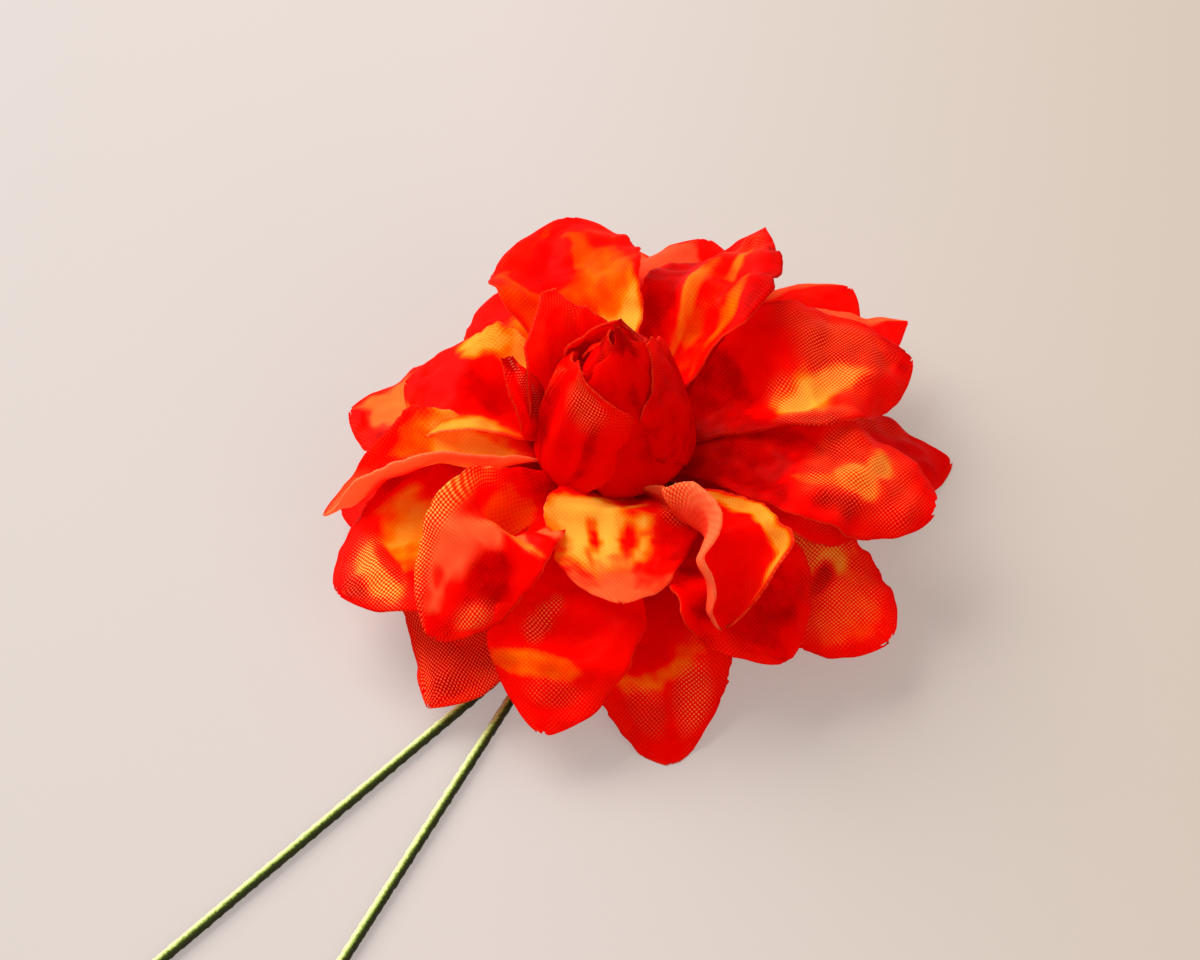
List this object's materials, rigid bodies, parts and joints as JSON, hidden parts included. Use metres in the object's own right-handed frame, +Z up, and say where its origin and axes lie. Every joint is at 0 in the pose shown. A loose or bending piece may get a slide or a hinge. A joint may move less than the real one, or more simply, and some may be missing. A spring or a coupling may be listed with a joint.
{
  "type": "dahlia boutonniere",
  "caption": "Red and orange fabric dahlia with cupped petals in tiers round a closed bud, on paper-wrapped wire stems, lying face up.",
  "frame": {"origin": "middle of the whole part's outline, on the table it lies on", "axes": "+Z up along the flower's axis, out of the bud; -Y towards the camera; the wires run out towards -X and -Y"},
  "size_m": [0.0992, 0.1192, 0.0293],
  "materials": {
    "petal_fabric": "woven polyester dyed red with orange and yellow, slight sheen",
    "calyx_plastic": "moulded, satin",
    "wire_steel": "drawn wire",
    "wrap_paper": "waxed crepe paper, matt"
  },
  "bodies": {
    "root": {"petals_low": "petal_fabric", "petals_middle": "petal_fabric", "petals_high": "petal_fabric", "bud_outer": "petal_fabric", "bud_inner": "petal_fabric", "calyx": "calyx_plastic", "wire_near": "wire_steel", "wire_far": "wire_steel", "wrapping_near": "wrap_paper", "wrapping_far": "wrap_paper"}
  },
  "joints": []
}
